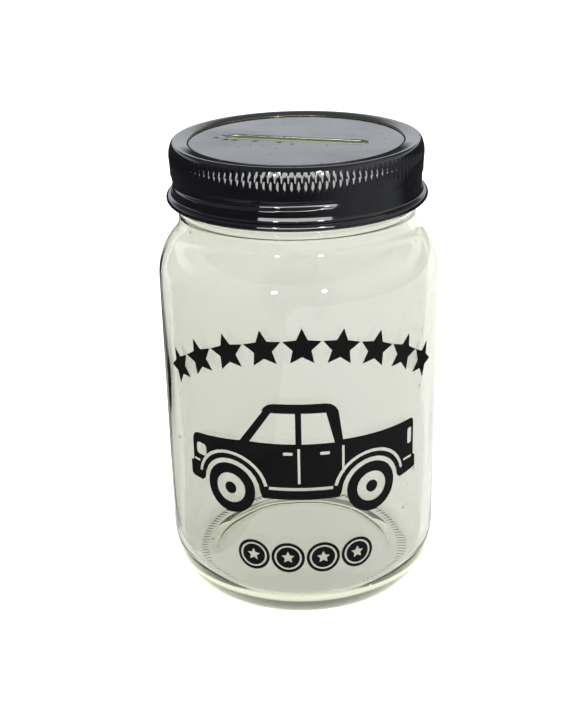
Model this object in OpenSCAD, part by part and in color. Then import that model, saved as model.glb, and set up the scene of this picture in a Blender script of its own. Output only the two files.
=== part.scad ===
// Coin bank jar: a pint glass jar closed by a two-piece screw lid. The lid is a flat steel disc
// with a coin slot, held on the glass lip by a knurled screw band. Cut vinyl shapes decorate the front.
// The origin is the middle of the base, +Z is up and the decorated front faces -Y.

/* [Jar] */
// Outer diameter of the straight glass wall
body_d = 80.5; // [74:0.5:98]
// Height of the glass from the table to the sealing lip
jar_h = 131.5; // [122:0.5:160]
// Thickness of the side wall
wall_t = 2.9; // [2:0.1:4]
// Thickness of the glass floor
floor_t = 4.5; // [3.5:0.1:6]
// Width of the rounded heel between the foot ring and the side wall
heel_w = 6; // [5:0.5:9]
// Height of the rounded heel
heel_h = 13; // [9:0.5:16]
// Width of the flat foot ring that the jar stands on
foot_w = 4.5; // [2:0.5:6]
// Height of the hollow under the floor
push_up = 2; // [1:0.1:3]
// Radius of the rounded shoulder
shoulder_r = 17.5; // [14:0.5:24]
// Radius of the hollow curve from the shoulder into the neck
neck_fillet_r = 7; // [5:0.5:9]

/* [Neck] */
// Outer diameter of the neck at the root of the threads
neck_d = 67.4; // [56:0.2:70]
// Thickness of the glass between the mouth and the root of the threads
finish_wall = 3.7; // [3.2:0.1:5]
// Distance from the lip down to the bead below the threads
finish_h = 17.1; // [17:0.1:20]
// Height of the glass thread above the neck
thread_depth = 0.95; // [0.9:0.05:1.4]
// Rise of the thread in one turn
pitch = 5.08; // [4.2:0.02:6.2]
// Turns of the glass thread
thread_turns = 1.25; // [1:0.05:1.3]

/* [Lid] */
// Thickness of the band's steel sheet
sheet_t = 0.3; // [0.2:0.05:0.4]
// Gap between the glass thread and the band's skirt
skirt_gap = 0.25; // [0.2:0.05:0.5]
// Height of the band from the crown of its flange to the foot of its curl
band_h = 16.6; // [16:0.1:17.6]
// Width of the band's flange, from the outer wall to the edge of the hole
flange_w = 5.6; // [4.6:0.1:7]
// Height of the flange's crown above its inner edge
crown_h = 0.5; // [0.3:0.1:0.8]
// Height of the knurled grip
knurl_h = 4.3; // [2.5:0.1:4.6]
// Number of knurls round the band
knurl_count = 126; // [90:1:140]
// Diameter of the curl at the foot of the band
curl_d = 2.05; // [1.6:0.05:2.4]
// Reach of the slotted disc past the glass of the neck
disc_over = 0.5; // [0.4:0.1:0.9]
// Thickness of the disc's steel
disc_t = 0.3; // [0.2:0.05:0.5]
// Thickness of the sealing ring under the disc
seal_t = 0.45; // [0.3:0.05:0.8]

/* [Coin slot] */
// Length of the slot
slot_l = 41; // [34:0.5:46]
// Width of the slot
slot_w = 5.3; // [4.5:0.1:6]
// Depth of the slot's turned-down lip
slot_lip = 1; // [0.6:0.1:2]
// Turn of the slot from the +X axis, seen from above
slot_angle = -16.8; // [-90:0.1:90]

/* [Vinyl shapes] */
// Thickness of the vinyl
vinyl_t = 0.1; // [0.06:0.01:0.2]
// Thickness of the glue under the vinyl
glue_t = 0.02; // [0.02:0.01:0.05]
// Number of stars in the arch
star_count = 9; // [5:1:9]
// Outer radius of a star
star_r = 5.5; // [3:0.1:5.6]
// Radius of the arch that the stars stand on
arch_r = 74; // [60:1:90]
// Height of the arch's top star above the table
arch_top = 86; // [80:0.5:88]
// Number of coins in the lower row
coin_count = 4; // [1:1:4]
// Radius of a coin
coin_r = 4.8; // [3:0.1:5]
// Height of the coin row above the table
coin_z = 21.5; // [19:0.5:26]
// Height of the pickup's wheels above the table
truck_z = 34; // [30:0.5:36]
// Length of the pickup
truck_l = 74; // [60:1:76]

/* [Hidden] */
body_r = body_d / 2;
inner_r = body_r - wall_t;
neck_r = neck_d / 2;
mouth_r = neck_r - finish_wall;
foot_out_r = body_r - heel_w;
foot_in_r = foot_out_r - foot_w;
bead_z = jar_h - finish_h;
bead_out = 0.4;
bead_half = 0.8;
lip_round = 0.9;
push_up_w = 3;
push_up_foot_w = 1;

// The shoulder and the neck fillet are two arcs that share one slope.
function sweep_of(drop, radii) = acos(1 - drop / radii);
shoulder_sum = shoulder_r + neck_fillet_r;
shoulder_sweep = sweep_of(body_r - neck_r, shoulder_sum);
neck_below_bead = 2.9;
shoulder_top = bead_z - neck_below_bead;
shoulder_z = shoulder_top - shoulder_sum * sin(shoulder_sweep);
inner_sweep = sweep_of(inner_r - mouth_r, shoulder_sum);
inner_heel_w = 5;
inner_heel_h = heel_h - floor_t;

// Stack of the lid on the lip, from the glass up.
disc_z = jar_h + seal_t;
flange_z = disc_z + disc_t;
band_top = flange_z + sheet_t + crown_h;
band_foot = band_top - band_h;
thread_r = neck_r + thread_depth;
low_in_r = thread_r + skirt_gap;
low_out_r = low_in_r + sheet_t;
step_out = 0.45;
wall_in_r = low_in_r + step_out;
wall_out_r = wall_in_r + sheet_t;
hole_r = wall_out_r - flange_w;
corner_w = 1.6;
corner_h = 1.2;
crown_r = wall_out_r - corner_w;
step_drop = 8.75;
step_z = band_top - step_drop;
step_h = 0.6;
knurl_out = 0.1;
knurl_drop = 0.7;
knurl_top = band_top - knurl_drop;
curl_r = curl_d / 2;
curl_mid_r = low_in_r + curl_r;
curl_mid_z = band_foot + curl_r;
disc_r = neck_r + disc_over;
disc_rim_h = 0.6;
seal_inset = 0.9;
seal_in_r = mouth_r + seal_inset;
seal_rim_gap = 0.2;
seal_out_r = disc_r - disc_t - seal_rim_gap;

// The band's thread bead runs just under the glass thread.
front = 270;
bead_gap = 0.35;
bead_tip_r = neck_r + bead_gap;
bead_rise = 6.5;
bead_front_z = band_foot + bead_rise;
ridge_base_w = 2.2;
ridge_tip_w = 0.9;
bead_base_w = 2.1;
bead_tip_w = 0.9;
bead_step_gap = 0.2;
bead_to = front + (step_z - bead_step_gap - bead_base_w / 2 - bead_front_z) / pitch * 360;
curl_gap = 0.3;
groove_top_w = 1.9;
bead_from = front - (bead_front_z - groove_top_w / 2 - curl_gap * 2 - band_foot - curl_d) / pitch * 360;
thread_play = 0.1;
ridge_front_z = bead_front_z + (ridge_base_w + ridge_tip_w + bead_base_w + bead_tip_w) / 4 + thread_play;
ridge_drop = 3.2;
ridge_top_z = jar_h - ridge_drop;
ridge_to = front + (ridge_top_z - ridge_front_z) / pitch * 360;
ridge_from = ridge_to - thread_turns * 360;
groove_depth = 0.55;
groove_foot_w = 0.7;
groove_over = 0.3;
fade = 30;
turn_step = 7.5;
sink = 0.12;
over = 1;
fine = 180;

// Vinyl shapes are drawn flat, in millimetres along and up the glass, then bent round it.
vinyl_in_r = body_r + glue_t;
vinyl_out_r = vinyl_in_r + vinyl_t;
arch_centre_z = arch_top - arch_r;
star_step = 8.25;
coin_step = 10.1;
sheet_l = 75;
truck_scale = truck_l / sheet_l;
wheel_r = 7.8;
arch_gap = 1.5;
front_wheel = [15.5, wheel_r];
rear_wheel = [57.5, wheel_r];

// ---- Curves ----

function arc(mid, rx, ry, from, to, n) =
    [for (i = [0:n]) let (a = from + (to - from) * i / n) mid + [rx * cos(a), ry * sin(a)]];

function rounded(lo, hi, r, n = 4) = concat(
    arc([hi.x - r, hi.y - r], r, r, 0, 90, n),
    arc([lo.x + r, hi.y - r], r, r, 90, 180, n),
    arc([lo.x + r, lo.y + r], r, r, 180, 270, n),
    arc([hi.x - r, lo.y + r], r, r, 270, 360, n));

function ring_band(mid, r, w, from, to, n) = concat(
    arc(mid, r, r, from, to, n),
    arc(mid, r + w, r + w, to, from, n));

// ---- Glass ----

function glass_outside() = concat(
    [[0, push_up], [foot_in_r - push_up_w, push_up * 0.8], [foot_in_r - push_up_foot_w, push_up * 0.25],
     [foot_in_r, 0]],
    arc([foot_out_r, heel_h], heel_w, heel_h, -90, 0, 12),
    arc([body_r - shoulder_r, shoulder_z], shoulder_r, shoulder_r, 0, shoulder_sweep, 12),
    arc([neck_r + neck_fillet_r, shoulder_top], neck_fillet_r, neck_fillet_r, 180 + shoulder_sweep, 180, 6),
    arc([neck_r, bead_z], bead_out, bead_half, -90, 90, 6),
    arc([neck_r - lip_round, jar_h - lip_round], lip_round, lip_round, 0, 90, 4));

function glass_inside() = concat(
    arc([mouth_r + lip_round, jar_h - lip_round], lip_round, lip_round, 90, 180, 4),
    arc([mouth_r + neck_fillet_r + wall_t, shoulder_z + shoulder_sum * sin(inner_sweep)],
        neck_fillet_r + wall_t, neck_fillet_r + wall_t, 180, 180 + inner_sweep, 6),
    arc([inner_r - shoulder_r + wall_t, shoulder_z], shoulder_r - wall_t, shoulder_r - wall_t,
        inner_sweep, 0, 12),
    arc([inner_r - inner_heel_w, floor_t + inner_heel_h], inner_heel_w, inner_heel_h, 0, -90, 8),
    [[0, floor_t + push_up * 0.5]]);

// A ridge that follows a helix: base and tip are radii, and it fades out at both ends.
module helix_ridge(base, tip, base_w, tip_w, front_z, from, to) {
    n = ceil((to - from) / turn_step);
    inward = tip < base;
    points = [for (i = [0:n])
        let (a = from + (to - from) * i / n,
             z = front_z + (a - front) / 360 * pitch,
             full = max(0.08, min(1, (a - from) / fade, (to - a) / fade)),
             t = base + (tip - base) * full,
             section = [[base, -base_w / 2], [t, -tip_w / 2], [t, tip_w / 2], [base, base_w / 2]])
        for (k = [0:3])
            let (p = section[inward ? 3 - k : k])
            [p.x * cos(a), p.x * sin(a), z + p.y]];
    sides = [for (i = [0:n - 1], k = [0:3])
        let (p = 4 * i + k, q = 4 * i + (k + 1) % 4)
        for (f = [[p, q, q + 4], [p, q + 4, p + 4]]) f];
    polyhedron(points, concat([[3, 2, 1, 0]], sides, [[4 * n, 4 * n + 1, 4 * n + 2, 4 * n + 3]]));
}

module glass_jar() color([0.86, 0.9, 0.86, 0.35]) {
    rotate_extrude($fn = fine) polygon(concat(glass_outside(), glass_inside()));
    helix_ridge(neck_r - sink, thread_r, ridge_base_w, ridge_tip_w, ridge_front_z, ridge_from, ridge_to);
}

// ---- Lid ----

// Outside of the band from the hole's edge over the crown and down to the curl.
function band_outside() = concat(
    arc([crown_r, flange_z + sheet_t], crown_r - hole_r, crown_h, 180, 90, 8),
    arc([crown_r, band_top - corner_h], corner_w, corner_h, 90, 0, 8),
    [[wall_out_r, step_z + step_h], [low_out_r, step_z], [low_out_r, curl_mid_z]]);

function band_inside() = concat(
    [[low_in_r, curl_mid_z], [low_in_r, step_z - sheet_t / 2], [wall_in_r, step_z + step_h - sheet_t / 2]],
    arc([crown_r, band_top - corner_h], corner_w - sheet_t, corner_h - sheet_t, 0, 90, 8),
    arc([crown_r, flange_z], crown_r - hole_r, crown_h, 90, 180, 8));

// The sheet's foot is rolled outwards into an open curl.
module curl_section() {
    difference() {
        translate([curl_mid_r, curl_mid_z]) circle(r = curl_r, $fn = 48);
        translate([curl_mid_r, curl_mid_z]) circle(r = curl_r - sheet_t, $fn = 48);
        translate([low_out_r + 0.02, curl_mid_z]) square([sheet_t, curl_d]);
        translate([low_in_r - over, curl_mid_z]) square([over + sheet_t, curl_d]);
    }
}

// One knurl is four points of the outline: a valley, two shoulders of the rib and the next valley.
module knurl_ring() {
    valley_r = wall_out_r - sheet_t / 3;
    crest_r = wall_out_r + knurl_out;
    outline = [for (i = [0:knurl_count - 1], p = [[0, valley_r], [0.3, crest_r], [0.6, crest_r], [0.9, valley_r]])
        let (a = (i + p[0]) * 360 / knurl_count) p[1] * [cos(a), sin(a)]];
    translate([0, 0, knurl_top - knurl_h]) linear_extrude(knurl_h) difference() {
        polygon(outline);
        circle(r = wall_in_r + sheet_t / 3, $fn = fine);
    }
}

module screw_band() color([0.02, 0.02, 0.022]) {
    difference() {
        union() {
            rotate_extrude($fn = fine) {
                polygon(concat(band_outside(), band_inside()));
                curl_section();
            }
            helix_ridge(low_in_r + sink, bead_tip_r, bead_base_w, bead_tip_w, bead_front_z, bead_from, bead_to);
        }
        helix_ridge(low_out_r + groove_over, low_out_r - groove_depth,
            groove_top_w + 2 * groove_over, groove_foot_w, bead_front_z, bead_from, bead_to);
    }
    knurl_ring();
}

module slot_shape(w, l) {
    square([l - w, w], center = true);
    for (side = [-1, 1]) translate([side * (l - w) / 2, 0]) circle(d = w, $fn = 48);
}

module slot_disc() color([0.05, 0.05, 0.055]) rotate([0, 0, slot_angle]) difference() {
    union() {
        translate([0, 0, disc_z]) cylinder(r = disc_r, h = disc_t, $fn = fine);
        translate([0, 0, disc_z - disc_rim_h]) difference() {
            cylinder(r = disc_r, h = disc_rim_h + disc_t / 2, $fn = fine);
            translate([0, 0, -over]) cylinder(r = disc_r - disc_t, h = disc_rim_h + 2 * over, $fn = fine);
        }
        translate([0, 0, disc_z - slot_lip]) linear_extrude(slot_lip + disc_t / 2)
            slot_shape(slot_w + 2 * disc_t, slot_l + 2 * disc_t);
    }
    translate([0, 0, disc_z - slot_lip - over]) linear_extrude(slot_lip + disc_t + 2 * over)
        slot_shape(slot_w, slot_l);
}

module seal_ring() color([0.75, 0.72, 0.66]) translate([0, 0, jar_h]) difference() {
    cylinder(r = seal_out_r, h = seal_t, $fn = fine);
    translate([0, 0, -over]) cylinder(r = seal_in_r, h = seal_t + 2 * over, $fn = fine);
}

// ---- Vinyl ----

// Each long edge is cut into short ones, so that it stays true when it is bent round the glass.
function dense(path) = [for (i = [0:len(path) - 1])
    let (p = path[i], q = path[(i + 1) % len(path)], n = max(1, ceil(norm(q - p) / 4)))
    for (k = [0:n - 1]) p + (q - p) * k / n];

function bent(path) = [for (p = dense(path)) [body_r * sin(p.x / body_r * 180 / PI), p.y]];

module on_glass() color([0.02, 0.02, 0.02]) intersection() {
    difference() {
        cylinder(r = vinyl_out_r, h = jar_h, $fn = fine);
        translate([0, 0, -over]) cylinder(r = vinyl_in_r, h = jar_h + 2 * over, $fn = fine);
    }
    rotate([90, 0, 0]) linear_extrude(body_r + over) children();
}

function star_path(mid, r, turn) = [for (i = [0:9])
    let (a = 90 + turn + 36 * i, k = i % 2 == 0 ? r : r * 0.48) mid + k * [cos(a), sin(a)]];

module star(i) {
    a = (i - (star_count + 1) / 2) * star_step;
    on_glass() polygon(bent(star_path([arch_r * sin(a), arch_centre_z + arch_r * cos(a)], star_r, -a)));
}

module coin(i) {
    mid = [(i - (coin_count + 1) / 2) * coin_step, coin_z];
    on_glass() {
        difference() {
            polygon(bent(arc(mid, coin_r, coin_r, 0, 352.5, 47)));
            polygon(bent(arc(mid, coin_r * 0.82, coin_r * 0.82, 0, 352.5, 47)));
        }
        difference() {
            polygon(bent(arc(mid, coin_r * 0.7, coin_r * 0.7, 0, 352.5, 47)));
            polygon(bent(star_path(mid, coin_r * 0.42, 0)));
        }
    }
}

// The pickup is drawn on a sheet sheet_l long, facing left, with its tyres standing on zero.
function on_truck(path) = [for (p = path) [p.x - sheet_l / 2, p.y] * truck_scale + [0, truck_z]];

module truck_part(path) polygon(bent(on_truck(path)));

function truck_outline() = concat(
    [[0, 8], [0, 12], [1.3, 12.6], [1.3, 19.2]],
    arc([4.3, 19.2], 3, 2.8, 180, 100, 4),
    [[19, 23.6], [26.2, 33.6]],
    arc([29.4, 32], 4, 4, 150, 90, 3),
    arc([43.6, 32], 4, 4, 90, 20, 3),
    [[48.6, 24.4]],
    arc([72.6, 23], 1.4, 1.4, 90, 0, 2),
    [[74, 12.4], [75, 11.8], [75, 8.2], [68, 7.4]],
    arc(rear_wheel, wheel_r + arch_gap, wheel_r + arch_gap, 3, 177, 12),
    [[47.5, 6.4], [25.5, 6.4]],
    arc(front_wheel, wheel_r + arch_gap, wheel_r + arch_gap, 3, 177, 12),
    [[5, 7.2], [1, 7.2]]);

// Windows, lamps, seams and trim lines are weeded out of the body.
function truck_cuts() = concat(
    [[[22, 23.8], [28.4, 33.2], [35.2, 33.2], [35.2, 23.8]],
     [[36.9, 23.8], [36.9, 33.2], [43.8, 33.2], [46.2, 23.8]]],
    [for (wheel = [front_wheel, rear_wheel])
        ring_band(wheel, wheel_r + arch_gap + 1.5, 1, 12, 168, 14)],
    [rounded([3, 15.2], [7, 19], 1.1),
     rounded([71.2, 16.6], [73, 21.6], 0.6),
     rounded([31.6, 20.3], [34.4, 21.3], 0.4),
     rounded([42, 20.3], [44.8, 21.3], 0.4),
     [[1.6, 12.8], [4.2, 12.8], [4.2, 13.5], [1.6, 13.5]],
     [[35.7, 11.4], [36.4, 11.4], [36.4, 22.4], [35.7, 22.4]],
     [[48.3, 14], [49, 14], [49, 22.6], [48.3, 22.6]],
     [[27.4, 9.2], [45.6, 9.2], [45.6, 10.2], [27.4, 10.2]],
     [[69.4, 11.8], [73.2, 11.8], [73.2, 12.6], [69.4, 12.6]]]);

module pickup_body() on_glass() difference() {
    truck_part(truck_outline());
    for (cut = truck_cuts()) truck_part(cut);
}

module wheel(mid) on_glass() {
    difference() {
        truck_part(arc(mid, wheel_r, wheel_r, 0, 352.5, 47));
        truck_part(arc(mid, wheel_r * 0.6, wheel_r * 0.6, 0, 352.5, 47));
    }
    truck_part(arc(mid, wheel_r * 0.24, wheel_r * 0.24, 0, 345, 23));
}

glass_jar();
screw_band();
slot_disc();
seal_ring();
pickup_body();  // decal_pickup_body
wheel(front_wheel);  // decal_front_wheel
wheel(rear_wheel);  // decal_rear_wheel
for (i = [1:star_count]) star(i);
for (i = [1:coin_count]) coin(i);
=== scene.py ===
import math

import bpy
import numpy as np
from mathutils import Matrix, Vector


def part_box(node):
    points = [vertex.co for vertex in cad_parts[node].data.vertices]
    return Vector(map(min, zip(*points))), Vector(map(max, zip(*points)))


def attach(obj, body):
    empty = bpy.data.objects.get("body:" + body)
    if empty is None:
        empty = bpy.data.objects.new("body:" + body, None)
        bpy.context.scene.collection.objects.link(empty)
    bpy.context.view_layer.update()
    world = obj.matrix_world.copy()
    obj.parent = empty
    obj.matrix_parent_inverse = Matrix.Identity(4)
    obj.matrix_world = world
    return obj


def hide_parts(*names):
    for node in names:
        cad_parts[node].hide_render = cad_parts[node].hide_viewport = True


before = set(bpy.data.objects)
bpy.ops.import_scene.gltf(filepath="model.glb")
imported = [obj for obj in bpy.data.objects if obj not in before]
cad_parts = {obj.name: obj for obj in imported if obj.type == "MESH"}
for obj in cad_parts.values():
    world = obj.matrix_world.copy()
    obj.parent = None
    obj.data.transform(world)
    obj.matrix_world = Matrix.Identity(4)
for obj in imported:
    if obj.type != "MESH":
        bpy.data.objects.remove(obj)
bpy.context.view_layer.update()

mm = 0.001


# ---- Camera ----
# A small studio camera stands in front of the jar, a little above its lid, and looks down at it.
# It is turned a little on its own axis, as a camera held in the hand is.

eye = Vector((-4.54, -344.85, 212.38)) * mm
looks_down = math.radians(22.98)
leans = math.radians(-1.38)
camera = bpy.data.cameras.new("studio_camera")
camera.lens = 62.91
camera.clip_start = 10 * mm
camera_stand = bpy.data.objects.new("studio_camera", camera)
bpy.context.scene.collection.objects.link(camera_stand)
camera_stand.matrix_world = (
    Matrix.Translation(eye)
    @ Matrix.Rotation(math.radians(90) - looks_down, 4, "X")
    @ Matrix.Rotation(leans, 4, "Z")
)
bpy.context.scene.camera = camera_stand
bpy.context.scene.view_settings.view_transform = "Standard"


# ---- Table and light ----
# The jar stands on a wide white sheet lit from below. What its gloss mirrors is a long low window behind, a
# room that is dark elsewhere, and a white card and two small round lamps in front, round the camera.


def material_named(name):
    """A node material with its Principled shader: (material, nodes, links, shader)."""
    made = bpy.data.materials.new(name)
    made.use_nodes = True
    nodes, links = made.node_tree.nodes, made.node_tree.links
    return made, nodes, links, nodes["Principled BSDF"]


def noise_on_object(nodes, links, scale, detail=2.0, stretch=(1, 1, 1)):
    """A Noise texture on Object coordinates, each axis first multiplied by stretch: its Factor socket."""
    place = nodes.new("ShaderNodeTexCoord")
    mapping = nodes.new("ShaderNodeMapping")
    mapping.inputs["Scale"].default_value = stretch
    noise = nodes.new("ShaderNodeTexNoise")
    noise.inputs["Scale"].default_value = scale
    noise.inputs["Detail"].default_value = detail
    links.new(place.outputs["Object"], mapping.inputs["Vector"])
    links.new(mapping.outputs["Vector"], noise.inputs["Vector"])
    return noise.outputs["Fac"]


def spread(nodes, links, value, low, high, start=0.0, end=1.0):
    """A Map Range: value from start to end becomes low to high, held at both ends."""
    node = nodes.new("ShaderNodeMapRange")
    node.inputs["From Min"].default_value = start
    node.inputs["From Max"].default_value = end
    node.inputs["To Min"].default_value = low
    node.inputs["To Max"].default_value = high
    links.new(value, node.inputs["Value"])
    return node.outputs["Result"]


def bumped(nodes, links, shader, height, distance, strength=1.0, under=None):
    """A Bump node between a height and the shader's normal, laid over an earlier bump if one is given."""
    node = nodes.new("ShaderNodeBump")
    node.inputs["Strength"].default_value = strength
    node.inputs["Distance"].default_value = distance
    links.new(height, node.inputs["Height"])
    if under is not None:
        links.new(under, node.inputs["Normal"])
    links.new(node.outputs["Normal"], shader.inputs["Normal"])
    return node.outputs["Normal"]


def paper():
    """Matt white paper with a faint grain, lit from below like a light table, a little more at the back."""
    made, nodes, links, shader = material_named("white_sheet")
    shader.inputs["Base Color"].default_value = (0.6, 0.6, 0.6, 1)
    shader.inputs["Roughness"].default_value = 0.9
    shader.inputs["Specular IOR Level"].default_value = 0.1
    shader.inputs["Emission Color"].default_value = (1, 1, 1, 1)
    place = nodes.new("ShaderNodeTexCoord")
    parts = nodes.new("ShaderNodeSeparateXYZ")
    links.new(place.outputs["Object"], parts.inputs["Vector"])
    links.new(spread(nodes, links, parts.outputs["Y"], 0.85, 1.0, 0.15, 0.30), shader.inputs["Emission Strength"])
    bumped(nodes, links, shader, noise_on_object(nodes, links, 900), 0.05 * mm, 0.3)
    return made


# The sheet is round and sweeps up into a wall all the way round, so that every side has a pale backdrop.
sheet_drop = 0.05 * mm
sheet_line = [(1.5, -sheet_drop), (3.2, -sheet_drop), (3.7, 0.15), (3.95, 0.5), (4.0, 1.2), (4.0, 3.0)]
sheet_turns = np.arange(48) * 2 * math.pi / 48
sheet_points = [(r * math.cos(a), r * math.sin(a), z) for r, z in sheet_line for a in sheet_turns]
sheet_faces = [tuple(range(48))]
for row in range(len(sheet_line) - 1):
    for k in range(48):
        near, beside = row * 48 + k, row * 48 + (k + 1) % 48
        sheet_faces.append((near, near + 48, beside + 48, beside))
sheet_mesh = bpy.data.meshes.new("white_sheet")
sheet_mesh.from_pydata(sheet_points, [], sheet_faces)
sheet_mesh.materials.append(paper())
white_sheet = bpy.data.objects.new("white_sheet", sheet_mesh)
bpy.context.scene.collection.objects.link(white_sheet)
white_sheet.visible_glossy = False


def lamp(name, shape, width, height, place, aim, radiance, colour=(1, 1, 1)):
    """An area lamp of a given radiance: its power is pi times radiance times its area. It faces aim."""
    light = bpy.data.lights.new(name, "AREA")
    light.shape = shape
    light.size = width
    area = width * height
    if shape == "RECTANGLE":
        light.size_y = height
    else:
        area *= math.pi / 4
    light.energy = math.pi * radiance * area
    light.color = colour
    stand = bpy.data.objects.new(name, light)
    stand.location = place
    stand.rotation_mode = "QUATERNION"
    stand.rotation_quaternion = (Vector(aim) - Vector(place)).to_track_quat("-Z", "Y")
    bpy.context.scene.collection.objects.link(stand)
    return stand


jar_middle = (0, 0, 0.07)
lamp("soft_box", "RECTANGLE", 0.9, 0.9, (0.25, 0.35, 1.3), jar_middle, 1.6)
front_card = lamp("front_card", "RECTANGLE", 0.8, 0.34, (-0.03, -0.65, 0.155), (0, 0, 0.13), 9)
table_glow = lamp("table_glow", "RECTANGLE", 1.5, 2.4, (0.695, 0, -0.3 * mm), (0.695, 0, 1), 0.95)
base_glow = lamp("base_glow", "DISK", 0.096, 0.096, (0, 0, -0.2 * mm), (0, 0, 1), 2.1, (0.88, 0.96, 0.64))
turn, rise, far = math.radians(20), math.radians(20), 1.3
small_lamps = [
    lamp(
        "round_lamp", "DISK", 0.10, 0.10,
        (side * far * math.sin(turn) * math.cos(rise), -far * math.cos(turn) * math.cos(rise), 0.1 + far * math.sin(rise)),
        (0, 0, 0.1), 160,
    )
    for side in (-1, 1)
]
for light in [front_card, table_glow, base_glow] + small_lamps:
    light.visible_diffuse = False
    light.visible_transmission = False
    light.visible_camera = False

# The card lights the lid only, so that it is not mirrored in the shoulder of the glass. The light table is
# mirrored in the glass only, so that the lid stays black.
lid_only = bpy.data.collections.new("lid_only")
front_card.light_linking.receiver_collection = lid_only
glass_only = bpy.data.collections.new("glass_only")
table_glow.light_linking.receiver_collection = glass_only
base_glow.light_linking.receiver_collection = glass_only

world = bpy.data.worlds.new("room")
world.use_nodes = True
bpy.context.scene.world = world
sky_nodes, sky_links = world.node_tree.nodes, world.node_tree.links
direction = sky_nodes.new("ShaderNodeTexCoord")
parts = sky_nodes.new("ShaderNodeSeparateXYZ")
sky_links.new(direction.outputs["Generated"], parts.inputs["Vector"])


def room_side(stops):
    """A ramp from straight down (-1) to straight up (1), one stop for each (height, colour)."""
    node = sky_nodes.new("ShaderNodeValToRGB")
    while len(node.color_ramp.elements) < len(stops):
        node.color_ramp.elements.new(0.5)
    for stop, (height, colour) in zip(node.color_ramp.elements, stops):
        stop.position = (height + 1) / 2
        stop.color = (*colour, 1)
    sky_links.new(spread(sky_nodes, sky_links, parts.outputs["Z"], 0, 1, -1, 1), node.inputs["Fac"])
    return node.outputs["Color"]


def blended(first, second, share):
    """A colour going from first to second as share goes from 0 to 1."""
    node = sky_nodes.new("ShaderNodeMix")
    node.data_type = "RGBA"
    sky_links.new(first, node.inputs["A"])
    sky_links.new(second, node.inputs["B"])
    sky_links.new(share, node.inputs["Factor"])
    return node.outputs["Result"]


# Behind the jar are the table, a dark sill and the window. In front the room is dark down to the table.
# The right half is lighter than the left one.
table, table_left, dark, sky = (0.95, 0.95, 0.95), (0.45, 0.45, 0.44), (0.04, 0.04, 0.045), (1.22, 1.28, 1.36)
upper = [(0.14, dark), (0.19, sky), (0.31, sky), (0.38, (0.20, 0.21, 0.22)), (1.0, (0.30, 0.30, 0.31))]
right_back = room_side([(-1.0, table), (-0.75, table), (-0.6, dark)] + upper)
left_back = room_side([(-1.0, table_left), (-0.75, table_left), (-0.6, dark)] + upper)
grey, light_grey, pale = (0.28, 0.28, 0.29), (0.40, 0.42, 0.45), (1.1, 1.1, 1.12)
left_front = room_side([(-1.0, table), (-0.85, table), (-0.7, dark), (0.1, dark), (0.4, grey), (1.0, grey)])
right_front = room_side([(-1.0, table), (-0.85, table), (-0.7, light_grey), (0.0, light_grey), (0.3, pale), (1.0, grey)])
to_right = parts.outputs["X"]
back = blended(left_back, right_back, spread(sky_nodes, sky_links, to_right, 0, 1, -0.5, 0.3))
in_front = blended(left_front, right_front, spread(sky_nodes, sky_links, to_right, 0, 1, 0.15, 0.75))
room = blended(in_front, back, spread(sky_nodes, sky_links, parts.outputs["Y"], 0, 1, 0.05, 0.4))
sky_links.new(room, sky_nodes["Background"].inputs["Color"])


# ---- Glass jar ----
# The jar is blown in two mould halves from clear soda-lime glass: a straight side, a round shoulder,
# a neck with a right-hand thread and a knurled foot ring. Its inner wall is a little uneven.

jar_low, jar_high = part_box("glass_jar")
body_r, jar_h = jar_high.x, jar_high.z
wall = 2.9 * mm
floor_t = 4.5 * mm
heel_w, heel_h = 6 * mm, 13 * mm
foot_w = 4.5 * mm
push_up = 2 * mm
shoulder_r, fillet_r = 17.5 * mm, 7 * mm
neck_r = 33.7 * mm
mouth_r = 30 * mm
bead_z = jar_h - 17.1 * mm
bead_out, bead_half = 0.4 * mm, 0.8 * mm
lip_round = 0.9 * mm
pitch = 5.08 * mm
front = math.radians(270)
around = 480


def arc(mid, reach, start, end, count):
    """Points on an ellipse: (mid + reach * (cos a, sin a)) for count angles a from start to end degrees."""
    a = np.radians(np.linspace(start, end, count))
    return np.stack([mid[0] + reach[0] * np.cos(a), mid[1] + reach[1] * np.sin(a)], axis=1)


def straight(start, end, count):
    """count evenly spaced points from start to end, both included."""
    return np.linspace(start, end, count)


def chained(*pieces):
    """One outline of several pieces. Where a piece starts on the last point so far, that point is kept once."""
    out = pieces[0]
    for piece in pieces[1:]:
        first = 1 if np.hypot(*(piece[0] - out[-1])) < 1e-6 else 0
        out = np.concatenate([out, piece[first:]])
    return out


def eased(x):
    """Smooth step: 0 below 0, 1 above 1, and 3x^2 - 2x^3 between."""
    x = np.clip(x, 0, 1)
    return x * x * (3 - 2 * x)


def turned(outline, angles):
    """A surface of revolution: the point (r, z) of row i at angle a is (r cos a, r sin a, z).
    Returns r, z and a as arrays of rows by columns, so that details can be added before they are placed."""
    r = np.repeat(outline[:, :1], len(angles), axis=1)
    z = np.repeat(outline[:, 1:], len(angles), axis=1)
    return r, z, np.repeat(angles[None, :], len(outline), axis=0)


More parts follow.
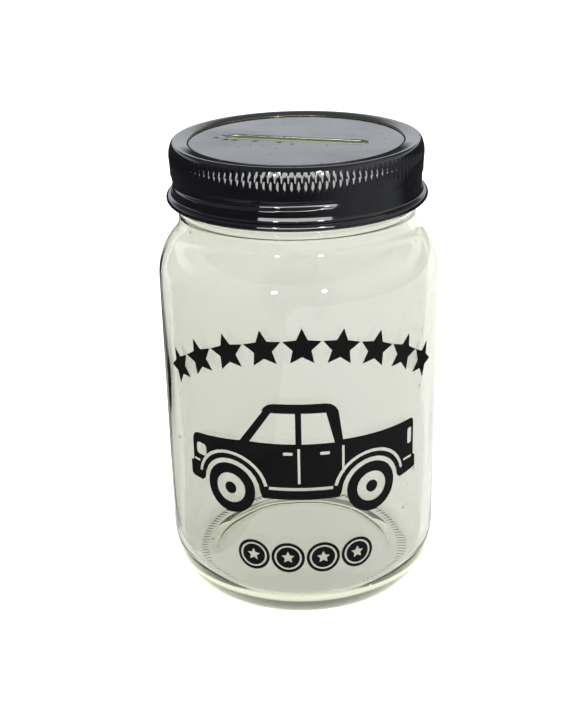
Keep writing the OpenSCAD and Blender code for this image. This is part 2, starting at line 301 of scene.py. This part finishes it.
def skin(name, r, z, a, closed=False, pole_start=None, pole_end=None, attribute=None):
    """A mesh over rows and columns of points (r cos a, r sin a, z). Columns join round the axis. Rows join
    end to end if closed; otherwise each open end is closed with a fan round a point on the axis."""
    rows, cols = r.shape
    points = np.stack([r * np.cos(a), r * np.sin(a), z], axis=-1).reshape(-1, 3)
    index = np.arange(rows * cols).reshape(rows, cols)
    here = index if closed else index[:-1]
    above = np.roll(index, -1, axis=0) if closed else index[1:]
    quads = np.stack([here, np.roll(here, -1, 1), np.roll(above, -1, 1), above], axis=-1).reshape(-1, 4)
    fans = []
    for height, ring, flip in ((pole_start, index[0], True), (pole_end, index[-1], False)):
        if height is not None:
            points = np.concatenate([points, [[0, 0, height]]])
            pole = np.full(cols, len(points) - 1)
            fan = [np.roll(ring, -1), ring, pole] if flip else [ring, np.roll(ring, -1), pole]
            fans.append(np.stack(fan, axis=-1))
    faces = [quads] + fans
    mesh = bpy.data.meshes.new(name)
    mesh.vertices.add(len(points))
    mesh.vertices.foreach_set("co", points.ravel())
    corner_lists = [f.ravel() for f in faces]
    counts = np.concatenate([np.full(len(f), f.shape[1]) for f in faces])
    mesh.loops.add(int(counts.sum()))
    mesh.loops.foreach_set("vertex_index", np.concatenate(corner_lists))
    mesh.polygons.add(len(counts))
    mesh.polygons.foreach_set("loop_start", np.concatenate([[0], np.cumsum(counts)[:-1]]))
    mesh.polygons.foreach_set("use_smooth", np.ones(len(counts), bool))
    mesh.update(calc_edges=True)
    mesh.validate()
    if attribute is not None:
        label, values = attribute
        layer = mesh.attributes.new(label, "FLOAT", "POINT")
        extra = np.zeros(len(points) - rows * cols)
        layer.data.foreach_set("value", np.concatenate([values.ravel(), extra]))
    piece = bpy.data.objects.new(name, mesh)
    bpy.context.scene.collection.objects.link(piece)
    return piece


def jar_outline():
    """Half of the jar's section, from under its middle, out, up the outside, over the lip and down inside."""
    foot_out, foot_in = body_r - heel_w, body_r - heel_w - foot_w
    inner_r = body_r - wall
    both = shoulder_r + fillet_r
    sweep = math.degrees(math.acos(1 - (body_r - neck_r) / both))
    top_z = bead_z - 2.9 * mm
    shoulder_z = top_z - both * math.sin(math.radians(sweep))
    in_sweep = math.degrees(math.acos(1 - (inner_r - mouth_r) / both))
    in_top_z = shoulder_z + both * math.sin(math.radians(in_sweep))
    in_fillet = fillet_r + wall
    under = np.linspace(2 * mm, foot_in, 11)
    under_z = push_up * (1 - eased((under - foot_in + 5 * mm) / (5 * mm)))
    outside = chained(
        np.stack([under, under_z], axis=1),
        straight((foot_in, 0), (foot_out, 0), 12),
        arc((foot_out, heel_h), (heel_w, heel_h), -90, 0, 18),
        straight((body_r, heel_h), (body_r, shoulder_z), 20),
        arc((body_r - shoulder_r, shoulder_z), (shoulder_r, shoulder_r), 0, sweep, 16),
        arc((neck_r + fillet_r, top_z), (fillet_r, fillet_r), 180 + sweep, 180, 9),
        arc((neck_r, bead_z), (bead_out, bead_half), -90, 90, 9),
        straight((neck_r, bead_z + bead_half), (neck_r, jar_h - lip_round), 44),
        arc((neck_r - lip_round, jar_h - lip_round), (lip_round, lip_round), 0, 90, 5),
    )
    in_heel = 5 * mm
    in_rise = heel_h - floor_t
    floor = np.linspace(inner_r - in_heel, 2 * mm, 9)
    inside = chained(
        arc((mouth_r + lip_round, jar_h - lip_round), (lip_round, lip_round), 90, 180, 5),
        straight((mouth_r, jar_h - lip_round), (mouth_r, in_top_z), 8),
        arc((mouth_r + in_fillet, in_top_z), (in_fillet, in_fillet), 180, 180 + in_sweep, 8),
        arc((inner_r - shoulder_r + wall, shoulder_z), (shoulder_r - wall,) * 2, in_sweep, 0, 12),
        straight((inner_r, shoulder_z), (inner_r, floor_t + in_rise), 14),
        arc((inner_r - in_heel, floor_t + in_rise), (in_heel, in_rise), 0, -90, 11),
        np.stack([floor, floor_t + push_up * 0.5 * (1 - floor / floor[0])], axis=1),
    )
    return outside, inside


def thread_height(z, a, crest, half, low, high):
    """How far a helical ridge stands up. Its middle is at height z = low's height + pitch * turns, it is
    1 - (dz / half)^2 raised to 0.7 across, and it fades over 30 degrees at both ends. low is (angle, z)."""
    ridge = np.zeros_like(z)
    start, start_z = low
    fade = math.radians(30)
    for turn in range(3):
        along = (a - start) % (2 * math.pi) + 2 * math.pi * turn
        middle = start_z + along / (2 * math.pi) * pitch
        across = np.clip(1 - ((z - middle) / half) ** 2, 0, 1) ** 0.7
        ends = eased(along / fade) * eased((high - start - along) / fade)
        ridge = np.maximum(ridge, crest * across * ends)
    return ridge


def uneven(a, z):
    """Slow waves of blown glass: a sum of cosines in angle and height, between about -1 and 1."""
    return (
        0.40 * np.cos(2 * a + 0.7 + 21 * z)
        + 0.30 * np.cos(5 * a - 38 * z + 2.1)
        + 0.20 * np.cos(9 * a + 95 * z + 4.0)
        + 0.10 * np.cos(17 * a - 160 * z + 1.3)
    )


def clear_glass():
    """Clear glass with a grey-green tint in its depth, faint waves and a few tiny seeds."""
    made, nodes, links, shader = material_named("clear_glass")
    shader.inputs["Base Color"].default_value = (0.715, 0.72, 0.70, 1)
    shader.inputs["Transmission Weight"].default_value = 1.0
    shader.inputs["IOR"].default_value = 1.5
    smear = noise_on_object(nodes, links, 45, 3, (1, 1, 0.4))
    links.new(spread(nodes, links, smear, 0.0, 0.015, 0.5, 0.75), shader.inputs["Roughness"])
    waves = noise_on_object(nodes, links, 60, 2, (1, 1, 0.35))
    first = bumped(nodes, links, shader, waves, 0.6 * mm, 0.12)
    seeds = nodes.new("ShaderNodeTexVoronoi")
    seeds.inputs["Scale"].default_value = 130
    place = nodes.new("ShaderNodeTexCoord")
    links.new(place.outputs["Object"], seeds.inputs["Vector"])
    seed_height = spread(nodes, links, seeds.outputs["Distance"], 1, 0, 0.02, 0.07)
    bumped(nodes, links, shader, seed_height, 0.15 * mm, 0.6, first)
    depth = nodes.new("ShaderNodeVolumeAbsorption")
    depth.inputs["Color"].default_value = (0.68, 0.74, 0.28, 1)
    depth.inputs["Density"].default_value = 30
    links.new(depth.outputs["Volume"], nodes["Material Output"].inputs["Volume"])
    return made


outside_line, inside_line = jar_outline()
angles = np.arange(around) * 2 * math.pi / around
jar_r, jar_z, jar_a = turned(chained(outside_line, inside_line), angles)
outside = np.zeros_like(jar_r)
outside[: len(outside_line)] = 1
side_rows = eased((jar_z - 10 * mm) / (12 * mm)) * eased((108 * mm - jar_z) / (12 * mm))
jar_r -= outside * side_rows * 0.035 * mm * (1 + uneven(jar_a, jar_z))
inner_side = eased((jar_z - 6 * mm) / (10 * mm)) * eased((125 * mm - jar_z) / (10 * mm))
jar_r += (1 - outside) * inner_side * 0.16 * mm * uneven(jar_a + 1.0, jar_z * 0.8)

# The thread winds one turn and a quarter up the neck.
thread_top = (front + math.radians(264), jar_h - 3.2 * mm)
thread_turns = 1.25
thread_foot = (thread_top[0] - thread_turns * 2 * math.pi, thread_top[1] - thread_turns * pitch)
on_neck = outside * (jar_z > bead_z + bead_half) * (jar_z < jar_h - lip_round)
jar_r += on_neck * thread_height(jar_z, jar_a, 0.93 * mm, 1.05 * mm, thread_foot, thread_top[0])

# The mould's two halves leave a fine seam on each side, and its bottom plate a ring of short ticks.
seam_turn = math.radians(7)
from_seam = np.abs((jar_a - seam_turn + math.pi / 2) % math.pi - math.pi / 2)
seam_rows = outside * eased((jar_z - 14 * mm) / (4 * mm)) * (jar_z < bead_z - 1.5 * mm)
jar_r += seam_rows * 0.028 * mm * np.exp(-((from_seam * body_r / (0.45 * mm)) ** 2))
ticks = 120
tick_r, tick_l = 31.8 * mm, 2.6 * mm
across_foot = np.clip((tick_r + tick_l / 2 - jar_r) / tick_l, 0, 1)
in_foot = outside * (jar_z < 0.01 * mm) * np.sin(math.pi * across_foot) ** 0.5
jar_z += in_foot * 0.4 * mm * (0.5 - 0.5 * np.cos(ticks * jar_a))

jar = skin("clear_jar", jar_r, jar_z, jar_a, pole_start=push_up, pole_end=floor_t + push_up * 0.5)
jar.data.materials.append(clear_glass())
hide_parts("glass_jar")
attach(jar, "jar")
glass_only.objects.link(jar)


# ---- Vinyl shapes ----
# Stars, a pickup and a row of coins are cut from thin black film with a satin face, and rubbed down on
# the outside of the glass. They keep the shape and place of the frame.


def satin_vinyl():
    """Near-black film with a fine calendered grain and a faint unevenness of gloss."""
    made, nodes, links, shader = material_named("satin_vinyl")
    tone = spread(nodes, links, noise_on_object(nodes, links, 140, 3), 0.004, 0.008)
    links.new(tone, shader.inputs["Base Color"])
    shader.inputs["Specular IOR Level"].default_value = 0.1
    gloss = noise_on_object(nodes, links, 90, 3)
    links.new(spread(nodes, links, gloss, 0.32, 0.5), shader.inputs["Roughness"])
    bumped(nodes, links, shader, noise_on_object(nodes, links, 2600, 2), 0.01 * mm, 0.25)
    return made


vinyl = satin_vinyl()
for name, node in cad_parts.items():
    if name.startswith("decal_"):
        node.material_slots[0].material = vinyl


# ---- Slotted disc ----
# A flat disc is stamped from tinplate and lacquered black. The edge of the coin slot is turned down
# so that it is smooth to the hand, and the rim is turned down over the lip of the glass.

disc_low, disc_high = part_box("slot_disc")
disc_top, lip_foot = disc_high.z, disc_low.z
disc_r = 34.2 * mm
disc_t = 0.3 * mm
rim_drop = 0.6 * mm
slot_l, slot_w = 41 * mm, 5.3 * mm
slot_turn = math.radians(-16.8)
slot_round = 0.25 * mm
disc_around = 720


def slot_edge(a, grow):
    """Distance from the middle to the slot's outline, grown by grow, along the direction a. Beside the
    straight sides it is half / |sin a|; at a round end it solves the circle about the end's middle."""
    half = slot_w / 2 + grow
    mid = (slot_l - slot_w) / 2
    s, c = np.abs(np.sin(a)), np.abs(np.cos(a))
    side = half / np.maximum(s, 1e-9)
    end = mid * c + np.sqrt(np.maximum(half**2 - (mid * s) ** 2, 0))
    return np.where(side * c <= mid, side, end)


def black_lacquer(name, shade, low_gloss, high_gloss, lining):
    """Baked black lacquer with orange peel, dust and rubbed spots. Where the attribute named lining is 1,
    the gold lacquer of the sheet's inner face shows instead."""
    made, nodes, links, shader = material_named(name)
    inner = nodes.new("ShaderNodeAttribute")
    inner.attribute_name = "lining"
    blend = nodes.new("ShaderNodeMix")
    blend.data_type = "RGBA"
    links.new(inner.outputs["Fac"], blend.inputs["Factor"])
    tone = nodes.new("ShaderNodeMix")
    tone.data_type = "RGBA"
    tone.inputs["A"].default_value = (*shade, 1)
    tone.inputs["B"].default_value = (*(v * 2.2 for v in shade), 1)
    links.new(noise_on_object(nodes, links, 70, 4), tone.inputs["Factor"])
    links.new(tone.outputs["Result"], blend.inputs["A"])
    blend.inputs["B"].default_value = (*lining, 1)
    links.new(blend.outputs["Result"], shader.inputs["Base Color"])
    links.new(spread(nodes, links, inner.outputs["Fac"], 0.0, 0.85), shader.inputs["Metallic"])
    rub = noise_on_object(nodes, links, 55, 5)
    links.new(spread(nodes, links, rub, low_gloss, high_gloss, 0.3, 0.75), shader.inputs["Roughness"])
    peel = bumped(nodes, links, shader, noise_on_object(nodes, links, 420, 2), 0.05 * mm, 0.25)
    specks = nodes.new("ShaderNodeTexVoronoi")
    specks.inputs["Scale"].default_value = 210
    place = nodes.new("ShaderNodeTexCoord")
    links.new(place.outputs["Object"], specks.inputs["Vector"])
    speck = spread(nodes, links, specks.outputs["Distance"], 1, 0, 0.03, 0.10)
    bumped(nodes, links, shader, speck, 0.06 * mm, 0.5, peel)
    return made, shader


def disc_rows():
    """The disc's section as rows of (slot growth, share of the way to the rim, radius at the rim, z).
    It runs from the rim over the top to the slot, down its lip, back under the disc and round the rim."""
    r = slot_round
    rows = []
    for t in np.linspace(1, 0, 32) ** 2:
        rows.append((r, t, disc_r - 0.25 * mm, disc_top))
    for t in np.linspace(15, 90, 6):
        t = math.radians(t)
        rows.append((r - r * math.sin(t), 0, 0, disc_top - r + r * math.cos(t)))
    rows += [(0, 0, 0, z) for z in np.linspace(disc_top - r - 0.1 * mm, lip_foot + 0.1 * mm, 3)]
    rows += [(0.08 * mm, 0, 0, lip_foot), (disc_t - 0.08 * mm, 0, 0, lip_foot)]
    rows += [(disc_t, 0, 0, lip_foot + 0.1 * mm), (disc_t, 0, 0, disc_top - disc_t - 0.15 * mm)]
    rows += [(disc_t + 0.15 * mm, t, disc_r - disc_t - 0.1 * mm, disc_top - disc_t) for t in np.linspace(0, 1, 12)]
    foot = disc_top - disc_t - rim_drop
    rows += [(0, 1, disc_r - disc_t, z) for z in np.linspace(disc_top - disc_t - 0.1 * mm, foot + 0.08 * mm, 3)]
    rows += [(0, 1, disc_r - disc_t + 0.08 * mm, foot), (0, 1, disc_r - 0.08 * mm, foot)]
    rows += [(0, 1, disc_r, z) for z in np.linspace(foot + 0.08 * mm, disc_top - 0.25 * mm, 3)]
    rows += [(0, 1, disc_r - 0.07 * mm, disc_top - 0.07 * mm)]
    return np.array(rows)


section = disc_rows()
turns = np.arange(disc_around) * 2 * math.pi / disc_around
disc_a = np.repeat(turns[None, :], len(section), axis=0)
grow, share, rim_r, row_z = (np.repeat(section[:, k : k + 1], disc_around, axis=1) for k in range(4))
near_r = slot_edge(disc_a, grow)
plate_r = near_r + (rim_r - near_r) * share
plate_z = row_z.copy()
plate_a = disc_a + slot_turn
# The stamping leaves the sheet very slightly wavy, and a few small dents beside the slot.
on_top = (np.arange(len(section)) < 32)[:, None]
plate_z -= on_top * 0.02 * mm * np.sin(math.pi * share) * (1 + uneven(plate_a, plate_r * 2))
along_slot, beside_slot = plate_r * np.cos(disc_a), plate_r * np.sin(disc_a)
dents = [(-21.5, 1.0), (-22.8, -2.2), (-19.4, -3.9), (-16.8, -4.0), (-10.6, -4.1), (-3.6, -4.2), (0.6, -5.9)]
for along, beside in dents:
    reach = np.hypot((along_slot - along * mm) / 1.3, beside_slot - beside * mm)
    plate_z -= on_top * (share > 0) * 0.13 * mm * np.exp(-((reach / (0.42 * mm)) ** 2))
lined = (np.arange(len(section)) >= 36).astype(float)
disc = skin("black_slot_disc", plate_r, plate_z, plate_a, closed=True,
            attribute=("lining", np.repeat(lined[:, None], disc_around, axis=1)))
disc_finish, disc_shader = black_lacquer("disc_lacquer", (0.012, 0.013, 0.015), 0.10, 0.2, (0.46, 0.50, 0.40))
disc_shader.inputs["Specular IOR Level"].default_value = 0.5
disc.data.materials.append(disc_finish)
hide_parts("slot_disc")
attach(disc, "disc")


# ---- Sealing ring ----
# A ring of soft compound is cast under the rim of the disc, where it meets the lip of the glass.
# It is slightly uneven, with a rounded inner edge.

seal_low, seal_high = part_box("seal_ring")
seal_out = 33.7 * mm
seal_in = 30.9 * mm
seal_edge = 0.15 * mm


def seal_outline():
    """The ring's section, anticlockwise: a flat rectangle with all four corners rounded."""
    z0, z1, e = seal_low.z, seal_high.z, seal_edge
    return chained(
        arc((seal_out - e, z0 + e), (e, e), -90, 0, 4),
        arc((seal_out - e, z1 - e), (e, e), 0, 90, 4),
        straight((seal_out - e, z1), (seal_in + e, z1), 6),
        arc((seal_in + e, z1 - e), (e, e), 90, 180, 4),
        arc((seal_in + e, z0 + e), (e, e), 180, 270, 4),
        straight((seal_in + e, z0), (seal_out - e, z0), 6)[:-1],
    )


def seal_compound():
    """Matt cream compound with fine grain and slightly darker patches."""
    made, nodes, links, shader = material_named("seal_compound")
    tone = nodes.new("ShaderNodeMix")
    tone.data_type = "RGBA"
    tone.inputs["A"].default_value = (0.50, 0.44, 0.36, 1)
    tone.inputs["B"].default_value = (0.64, 0.58, 0.49, 1)
    links.new(noise_on_object(nodes, links, 160, 4), tone.inputs["Factor"])
    links.new(tone.outputs["Result"], shader.inputs["Base Color"])
    links.new(spread(nodes, links, noise_on_object(nodes, links, 300), 0.5, 0.7), shader.inputs["Roughness"])
    bumped(nodes, links, shader, noise_on_object(nodes, links, 1500, 3), 0.03 * mm, 0.5)
    return made


seal_turns = np.arange(360) * 2 * math.pi / 360
seal_r, seal_z, seal_a = turned(seal_outline(), seal_turns)
inner_edge = eased((seal_out - 1.5 * mm - seal_r) / (1 * mm))
seal_r += inner_edge * 0.12 * mm * (1 + uneven(seal_a * 3, seal_z)) / 2
seal = skin("sealing_ring", seal_r, seal_z, seal_a, closed=True)
seal.data.materials.append(seal_compound())
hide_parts("seal_ring")
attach(seal, "disc")


# ---- Screw band ----
# The band is drawn from tinplate and lacquered black. Its grip is knurled with short flutes, the thread
# is rolled into the wall below a small step, and the foot is curled so that no raw edge shows.

band_low, band_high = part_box("screw_band")
band_foot, band_top = band_low.z, band_high.z
sheet_t = 0.3 * mm
curl_r = 1.025 * mm
low_in = neck_r + 0.95 * mm + 0.25 * mm
low_out = low_in + sheet_t
high_out = low_out + 0.45 * mm
hole_r = high_out - 5.6 * mm
crown_h = 0.5 * mm
corner_w, corner_h = 1.25 * mm, 4.2 * mm
step_z, step_h = band_top - 8.75 * mm, 0.5 * mm
knurls = 126
knurl_foot, knurl_top = band_top - 5.1 * mm, band_top - 0.5 * mm
knurl_out = 0.1 * mm
flute_depth, flute_half = 0.5 * mm, 0.33
groove_mid = band_foot + 6.5 * mm
groove_from = front - math.radians(215)
groove_to = front + math.radians(26)
groove_half, groove_depth = 0.95 * mm, 0.7 * mm


def band_outline():
    """The sheet's section, anticlockwise: round the curl, up the outside, over the crown to the hole, and
    back down inside. Returns the outside part and the inside part as two separate outlines."""
    curl_mid = (low_in + curl_r, band_foot + curl_r)
    flare_r = curl_mid[0] + curl_r * math.cos(math.radians(100))
    flare_z = curl_mid[1] + curl_r * math.sin(math.radians(100))
    wall_z = band_foot + 3.5 * mm
    lean = np.linspace(0, 1, 4)
    waist = high_out - 0.12 * mm
    side_z = band_top - corner_h
    crown_r = high_out - corner_w
    step = np.linspace(0, 1, 5)
    dish = np.linspace(0, 1, 9)
    outer = chained(
        arc(curl_mid, (curl_r, curl_r), 180, 460, 20),
        arc((flare_r, wall_z), (low_out - flare_r, flare_z - wall_z), 90, 0, 6),
        straight((low_out, wall_z), (low_out, step_z - step_h), 17),
        np.stack([low_out + (waist - low_out) * eased(step), step_z + step_h * (step - 1)], axis=1),
        np.stack([waist + (high_out - waist) * eased(lean), step_z + (side_z - step_z) * lean], axis=1),
        arc((crown_r, side_z), (corner_w, corner_h), 0, 90, 24),
        np.stack([crown_r + (hole_r - crown_r) * dish, band_top - crown_h * dish**1.25], axis=1),
    )
    t = sheet_t
    inner = chained(
        np.array([[hole_r + 0.05 * mm, band_top - crown_h - t * 0.6]]),
        straight((hole_r + 0.2 * mm, band_top - crown_h - t), (crown_r, band_top - 1.4 * t), 5),
        arc((crown_r, side_z), (corner_w - 2 * t, corner_h - 1.4 * t), 90, 0, 5)[1:],
        straight((high_out - 2 * t, side_z), (high_out - 2 * t, step_z + step_h), 3),
        straight((low_in, step_z - step_h), (low_in, band_foot + curl_r), 16)[:-1],
    )
    return outer, inner


def flutes(z, a):
    """Radius of the flute's floor, at u pitches from its middle: side - depth * (1 - (u / half)^2), which
    rises to the side over the lowest 1.4 mm. The wall is cut back to it wherever it stands outside it."""
    u = np.abs((a * knurls / (2 * math.pi)) % 1 - 0.5)
    side = high_out + knurl_out
    floor = side - flute_depth * (1 - np.minimum(u / flute_half, 1) ** 2)
    up = np.clip((z - knurl_foot) / (1.4 * mm), 0, 1)
    return np.where(u < flute_half, floor + (side - floor) * (1 - up) ** 2, side)


outer_line, inner_line = band_outline()
outline = chained(outer_line, inner_line)
# Each rib has six columns: the middle of its crest, two at each of its edges and one in the flute.
rib_steps = np.array([0.0, 0.14, 0.24, 0.5, 0.76, 0.86])
band_turns = ((np.arange(knurls)[:, None] + rib_steps[None, :]) * 2 * math.pi / knurls).ravel()
band_r, band_z, band_a = turned(outline, band_turns)
is_outer = (np.arange(len(outline)) < len(outer_line)).astype(float)[:, None]
in_grip = is_outer * (band_z > knurl_foot) * (band_z < knurl_top)
raised = eased((band_z - knurl_foot) / (1 * mm)) * eased((band_top - 1 * mm - band_z) / (1.5 * mm))
band_r = np.where(in_grip > 0, np.minimum(band_r + knurl_out * raised, flutes(band_z, band_a)), band_r)
groove_start = (groove_from, groove_mid + (groove_from - front) / (2 * math.pi) * pitch)
groove = thread_height(band_z, band_a, groove_depth, groove_half, groove_start, groove_to)
in_wall = (band_z > band_foot + 2 * mm) & (band_z < step_z)
band_r -= groove * in_wall
lining = 1 - is_outer * (np.arange(len(outline)) > 8)[:, None]
band = skin("black_screw_band", band_r, band_z, band_a, closed=True,
            attribute=("lining", np.repeat(lining, len(band_turns), axis=1)))
band_finish, band_shader = black_lacquer("band_lacquer", (0.003, 0.003, 0.004), 0.04, 0.10, (0.72, 0.6, 0.34))
band_shader.inputs["Specular IOR Level"].default_value = 0.6
band.data.materials.append(band_finish)
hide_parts("screw_band")
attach(band, "band")
for piece in (band, disc):
    lid_only.objects.link(piece)
